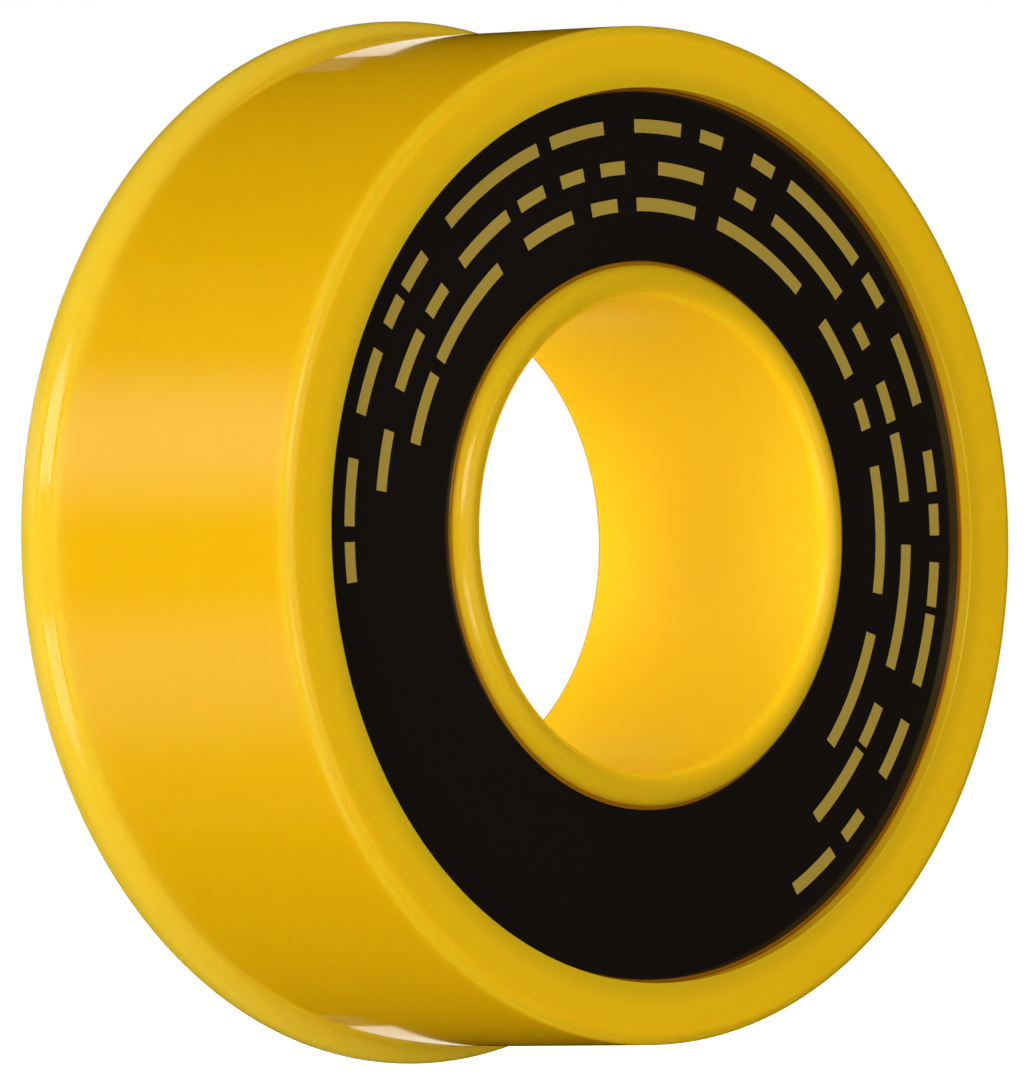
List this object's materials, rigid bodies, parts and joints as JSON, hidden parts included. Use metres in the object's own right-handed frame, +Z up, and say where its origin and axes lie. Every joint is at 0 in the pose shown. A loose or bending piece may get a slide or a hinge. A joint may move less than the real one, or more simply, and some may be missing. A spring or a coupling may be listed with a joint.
{
  "type": "thread seal tape roll",
  "caption": "Roll of pipe thread seal tape: a ring-shaped moulded case with a bore tube and a face label, and a flanged spool of tape that closes its back and pulls out of it.",
  "frame": {"origin": "on the supporting surface, under the middle of the roll as it stands on its rim", "axes": "+Z up, the roll's axis along Y with the labelled front towards -Y, +X to the right as seen from the front"},
  "size_m": [0.0486, 0.0168, 0.0486],
  "materials": {
    "case_plastic": "smooth moulded polypropylene, translucent lemon at the edges",
    "spool_plastic": "smooth moulded polypropylene",
    "tape_film": "satin wound film",
    "label_film": "printed film, satin"
  },
  "bodies": {
    "case": {"case": "case_plastic", "front_label": "label_film"},
    "spool": {"spool": "spool_plastic", "tape": "tape_film", "back_label": "label_film"}
  },
  "joints": [
    {"name": "spool_pull", "type": "slide", "parent": "case", "child": "spool", "axis": [0, 1, 0], "range_m": [0, 0.018]}
  ]
}
